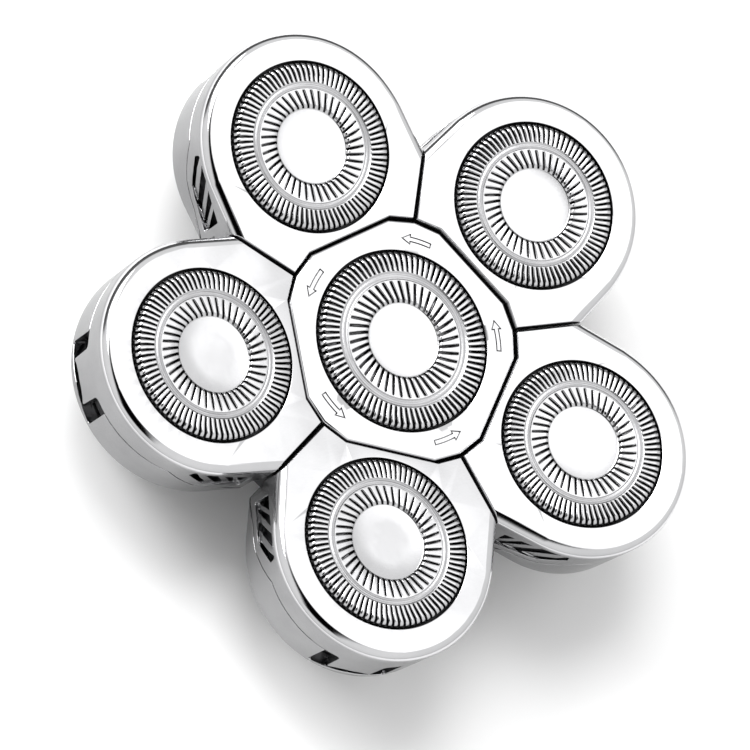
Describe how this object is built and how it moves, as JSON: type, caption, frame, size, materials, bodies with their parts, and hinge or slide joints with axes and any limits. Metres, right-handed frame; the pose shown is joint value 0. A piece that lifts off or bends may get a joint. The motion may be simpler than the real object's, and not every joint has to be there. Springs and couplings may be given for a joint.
{
  "type": "rotary shaver head",
  "caption": "Chromed flower-shaped rotary shaver head: tilting petal heads with slotted foils and turning cutters round a sprung centre head on a gearbox.",
  "frame": {"origin": "on the drive axis, at the plane of the rear collar's rim, which the head stands on", "axes": "+Z is the drive axis and points to the shaving side; +Y runs to the tip of petal 1, and petals 2 to 5 follow counter-clockwise"},
  "size_m": [0.0774, 0.0751, 0.0213],
  "materials": {
    "chrome": "bright chrome plate on the faces, slightly satin on the side walls",
    "foil_steel": "polished stainless steel foil with a turned face",
    "cutter_steel": "ground stainless steel",
    "spring_steel": "drawn spring wire",
    "tray_plastic": "fine-grained moulded dark grey plastic",
    "gearbox_plastic": "spark-eroded black plastic",
    "gear_acetal": "smooth natural acetal",
    "screw_steel": "zinc-plated steel"
  },
  "bodies": {
    "base": {"gearbox_base": "gearbox_plastic", "gearbox_cover": "gearbox_plastic", "lock_collar": "gearbox_plastic", "hinge_pin_1": "screw_steel", "hinge_pin_2": "screw_steel", "hinge_pin_3": "screw_steel", "hinge_pin_4": "screw_steel", "hinge_pin_5": "screw_steel", "cover_screw_1": "screw_steel", "cover_screw_2": "screw_steel", "cover_screw_3": "screw_steel", "cover_screw_4": "screw_steel", "cover_screw_5": "screw_steel"},
    "drive": {"sun_gear": "gear_acetal", "centre_spring": "spring_steel"},
    "centre_head": {"centre_frame": "chrome", "centre_retainer": "tray_plastic", "centre_foil": "foil_steel"},
    "centre_rotor": {"centre_cutter": "cutter_steel"},
    "centre_rod": {"centre_spindle": "screw_steel"},
    "petal_1": {"petal_cover_1": "chrome", "petal_shell_1": "chrome", "cutter_retainer_1": "tray_plastic", "foil_1": "foil_steel"},
    "rotor_1": {"cutter_1": "cutter_steel"},
    "planet_1": {"planet_gear_1": "gear_acetal", "spindle_spring_1": "spring_steel"},
    "rod_1": {"spindle_1": "screw_steel"},
    "petal_2": {"petal_cover_2": "chrome", "petal_shell_2": "chrome", "cutter_retainer_2": "tray_plastic", "foil_2": "foil_steel"},
    "rotor_2": {"cutter_2": "cutter_steel"},
    "planet_2": {"planet_gear_2": "gear_acetal", "spindle_spring_2": "spring_steel"},
    "rod_2": {"spindle_2": "screw_steel"},
    "petal_3": {"petal_cover_3": "chrome", "petal_shell_3": "chrome", "cutter_retainer_3": "tray_plastic", "foil_3": "foil_steel"},
    "rotor_3": {"cutter_3": "cutter_steel"},
    "planet_3": {"planet_gear_3": "gear_acetal", "spindle_spring_3": "spring_steel"},
    "rod_3": {"spindle_3": "screw_steel"},
    "petal_4": {"petal_cover_4": "chrome", "petal_shell_4": "chrome", "cutter_retainer_4": "tray_plastic", "foil_4": "foil_steel"},
    "rotor_4": {"cutter_4": "cutter_steel"},
    "planet_4": {"planet_gear_4": "gear_acetal", "spindle_spring_4": "spring_steel"},
    "rod_4": {"spindle_4": "screw_steel"},
    "petal_5": {"petal_cover_5": "chrome", "petal_shell_5": "chrome", "cutter_retainer_5": "tray_plastic", "foil_5": "foil_steel"},
    "rotor_5": {"cutter_5": "cutter_steel"},
    "planet_5": {"planet_gear_5": "gear_acetal", "spindle_spring_5": "spring_steel"},
    "rod_5": {"spindle_5": "screw_steel"}
  },
  "joints": [
    {"name": "drive_spin", "type": "hinge", "parent": "base", "child": "drive", "pos_m": [0, 0, 0], "axis": [0, 0, 1], "continuous": true},
    {"name": "centre_float", "type": "slide", "parent": "base", "child": "centre_head", "axis": [0, 0, 1], "range_m": [-0.001, 0], "stiffness_N_per_m": 600, "springref_m": 0.0015},
    {"name": "centre_cutter_spin", "type": "hinge", "parent": "centre_head", "child": "centre_rotor", "pos_m": [0, 0, 0.0184], "axis": [0, 0, 1], "continuous": true},
    {"name": "centre_rod_slide", "type": "slide", "parent": "drive", "child": "centre_rod", "axis": [0, 0, 1], "range_m": [-0.00105, 0.00005], "deforming": ["centre_spring"]},
    {"name": "petal_tilt_1", "type": "hinge", "parent": "base", "child": "petal_1", "pos_m": [0, 0.0166, 0.0146], "axis": [-1, 0, 0], "range_deg": [0, 7], "stiffness_Nm_per_rad": 0.05, "springref_deg": -11.46},
    {"name": "cutter_spin_1", "type": "hinge", "parent": "petal_1", "child": "rotor_1", "pos_m": [0, 0.0257, 0.01985], "axis": [0, -0.0941, 0.9956], "continuous": true},
    {"name": "planet_spin_1", "type": "hinge", "parent": "base", "child": "planet_1", "pos_m": [0, 0.026, 0], "axis": [0, 0, 1], "continuous": true},
    {"name": "rod_slide_1", "type": "slide", "parent": "planet_1", "child": "rod_1", "axis": [0, 0, 1], "range_m": [-0.0012, 0.00005], "deforming": ["spindle_spring_1"]},
    {"name": "petal_tilt_2", "type": "hinge", "parent": "base", "child": "petal_2", "pos_m": [-0.01579, 0.00513, 0.0146], "axis": [-0.309, -0.9511, 0], "range_deg": [0, 7], "stiffness_Nm_per_rad": 0.05, "springref_deg": -11.46},
    {"name": "cutter_spin_2", "type": "hinge", "parent": "petal_2", "child": "rotor_2", "pos_m": [-0.02444, 0.00794, 0.01985], "axis": [0.0895, -0.0291, 0.9956], "continuous": true},
    {"name": "planet_spin_2", "type": "hinge", "parent": "base", "child": "planet_2", "pos_m": [-0.02473, 0.00803, 0], "axis": [0, 0, 1], "continuous": true},
    {"name": "rod_slide_2", "type": "slide", "parent": "planet_2", "child": "rod_2", "axis": [0, 0, 1], "range_m": [-0.0012, 0.00005], "deforming": ["spindle_spring_2"]},
    {"name": "petal_tilt_3", "type": "hinge", "parent": "base", "child": "petal_3", "pos_m": [-0.00976, -0.01343, 0.0146], "axis": [0.809, -0.5878, 0], "range_deg": [0, 7], "stiffness_Nm_per_rad": 0.05, "springref_deg": -11.46},
    {"name": "cutter_spin_3", "type": "hinge", "parent": "petal_3", "child": "rotor_3", "pos_m": [-0.01511, -0.02079, 0.01985], "axis": [0.0553, 0.0761, 0.9956], "continuous": true},
    {"name": "planet_spin_3", "type": "hinge", "parent": "base", "child": "planet_3", "pos_m": [-0.01528, -0.02103, 0], "axis": [0, 0, 1], "continuous": true},
    {"name": "rod_slide_3", "type": "slide", "parent": "planet_3", "child": "rod_3", "axis": [0, 0, 1], "range_m": [-0.0012, 0.00005], "deforming": ["spindle_spring_3"]},
    {"name": "petal_tilt_4", "type": "hinge", "parent": "base", "child": "petal_4", "pos_m": [0.00976, -0.01343, 0.0146], "axis": [0.809, 0.5878, 0], "range_deg": [0, 7], "stiffness_Nm_per_rad": 0.05, "springref_deg": -11.46},
    {"name": "cutter_spin_4", "type": "hinge", "parent": "petal_4", "child": "rotor_4", "pos_m": [0.01511, -0.02079, 0.01985], "axis": [-0.0553, 0.0761, 0.9956], "continuous": true},
    {"name": "planet_spin_4", "type": "hinge", "parent": "base", "child": "planet_4", "pos_m": [0.01528, -0.02103, 0], "axis": [0, 0, 1], "continuous": true},
    {"name": "rod_slide_4", "type": "slide", "parent": "planet_4", "child": "rod_4", "axis": [0, 0, 1], "range_m": [-0.0012, 0.00005], "deforming": ["spindle_spring_4"]},
    {"name": "petal_tilt_5", "type": "hinge", "parent": "base", "child": "petal_5", "pos_m": [0.01579, 0.00513, 0.0146], "axis": [-0.309, 0.9511, 0], "range_deg": [0, 7], "stiffness_Nm_per_rad": 0.05, "springref_deg": -11.46},
    {"name": "cutter_spin_5", "type": "hinge", "parent": "petal_5", "child": "rotor_5", "pos_m": [0.02444, 0.00794, 0.01985], "axis": [-0.0895, -0.0291, 0.9956], "continuous": true},
    {"name": "planet_spin_5", "type": "hinge", "parent": "base", "child": "planet_5", "pos_m": [0.02473, 0.00803, 0], "axis": [0, 0, 1], "continuous": true},
    {"name": "rod_slide_5", "type": "slide", "parent": "planet_5", "child": "rod_5", "axis": [0, 0, 1], "range_m": [-0.0012, 0.00005], "deforming": ["spindle_spring_5"]}
  ],
  "couplings": [
    {"joint": "centre_cutter_spin", "follows": "drive_spin", "ratio": 1},
    {"joint": "centre_rod_slide", "follows": "centre_float", "ratio": 1},
    {"joint": "cutter_spin_1", "follows": "drive_spin", "ratio": -2.25},
    {"joint": "planet_spin_1", "follows": "drive_spin", "ratio": -2.25},
    {"joint": "rod_slide_1", "follows": "petal_tilt_1", "m_per_rad": -0.0094},
    {"joint": "cutter_spin_2", "follows": "drive_spin", "ratio": -2.25},
    {"joint": "planet_spin_2", "follows": "drive_spin", "ratio": -2.25},
    {"joint": "rod_slide_2", "follows": "petal_tilt_2", "m_per_rad": -0.0094},
    {"joint": "cutter_spin_3", "follows": "drive_spin", "ratio": -2.25},
    {"joint": "planet_spin_3", "follows": "drive_spin", "ratio": -2.25},
    {"joint": "rod_slide_3", "follows": "petal_tilt_3", "m_per_rad": -0.0094},
    {"joint": "cutter_spin_4", "follows": "drive_spin", "ratio": -2.25},
    {"joint": "planet_spin_4", "follows": "drive_spin", "ratio": -2.25},
    {"joint": "rod_slide_4", "follows": "petal_tilt_4", "m_per_rad": -0.0094},
    {"joint": "cutter_spin_5", "follows": "drive_spin", "ratio": -2.25},
    {"joint": "planet_spin_5", "follows": "drive_spin", "ratio": -2.25},
    {"joint": "rod_slide_5", "follows": "petal_tilt_5", "m_per_rad": -0.0094}
  ]
}
